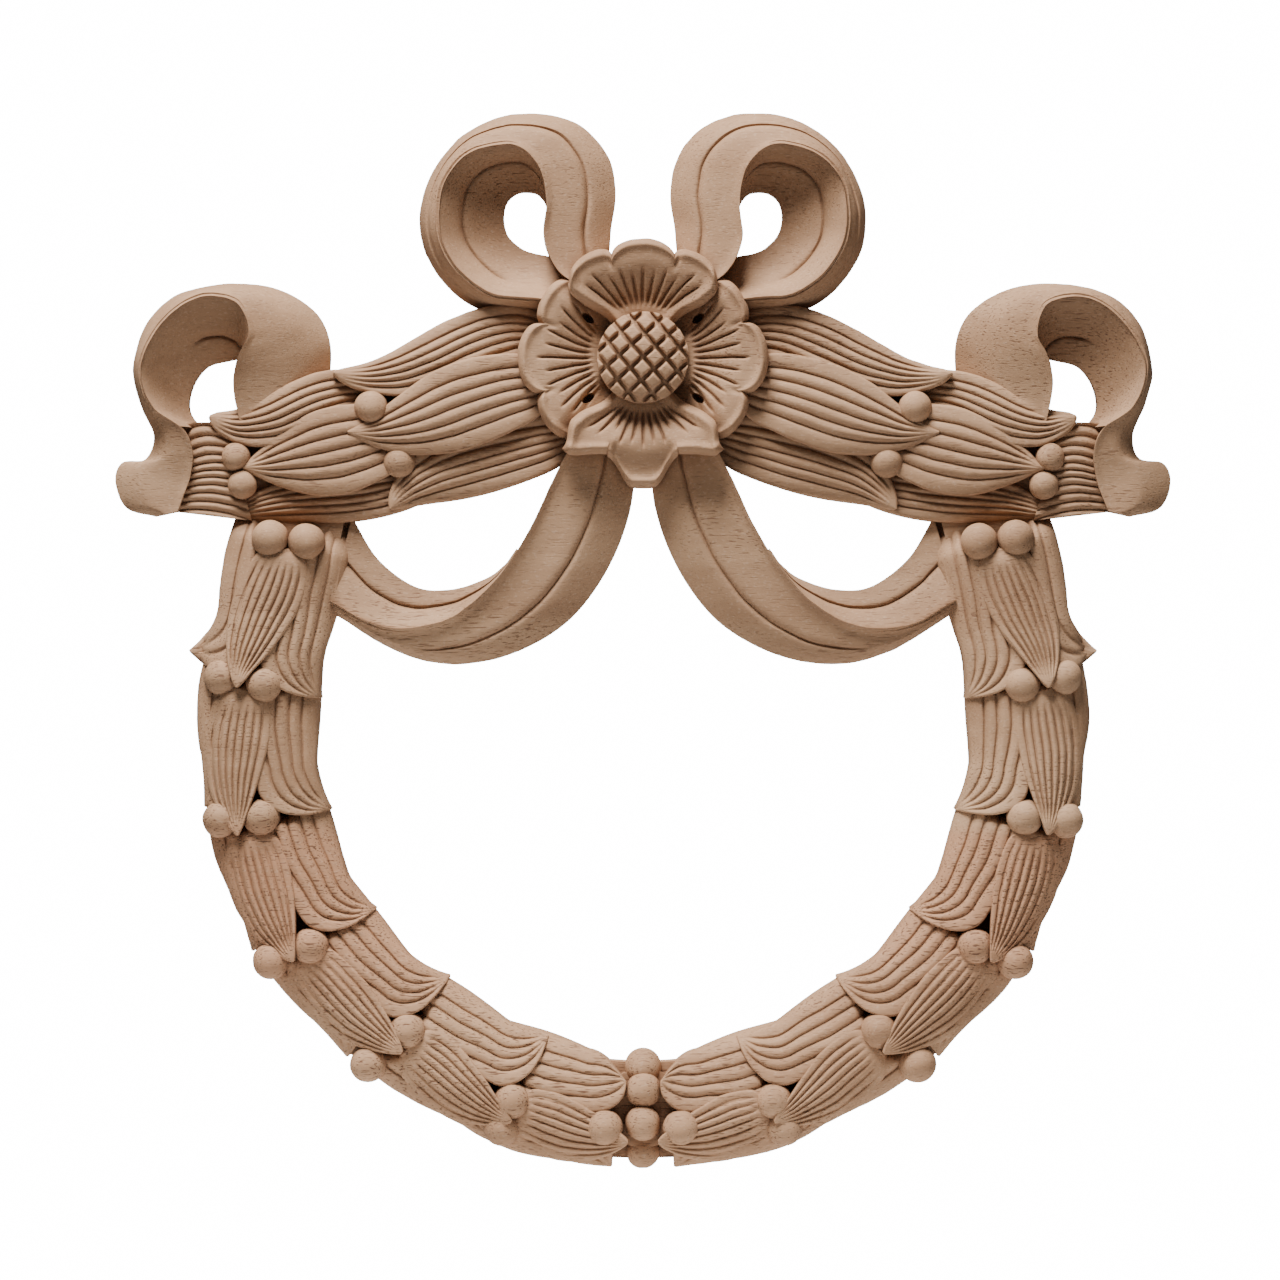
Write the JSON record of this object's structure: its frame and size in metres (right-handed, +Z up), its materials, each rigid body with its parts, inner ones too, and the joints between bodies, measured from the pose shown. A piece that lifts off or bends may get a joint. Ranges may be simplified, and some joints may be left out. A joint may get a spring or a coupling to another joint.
{
  "type": "carved floral onlay",
  "caption": "Flat-backed carved wooden onlay: a flower with a ribbon bow over a round garland of leaves and berries, to be fixed to a door, panel or wall.",
  "frame": {"origin": "on the flat back, behind the middle of the flower", "axes": "+Z up, +X to the right as the carved face is looked at, +Y out of the flat back towards the wall"},
  "size_m": [0.3, 0.0258, 0.2997],
  "materials": {
    "carved_wood": "bare pale brown hardwood with open pores, sanded, unpainted"
  },
  "bodies": {
    "root": {"carved_onlay": "carved_wood"}
  },
  "joints": []
}
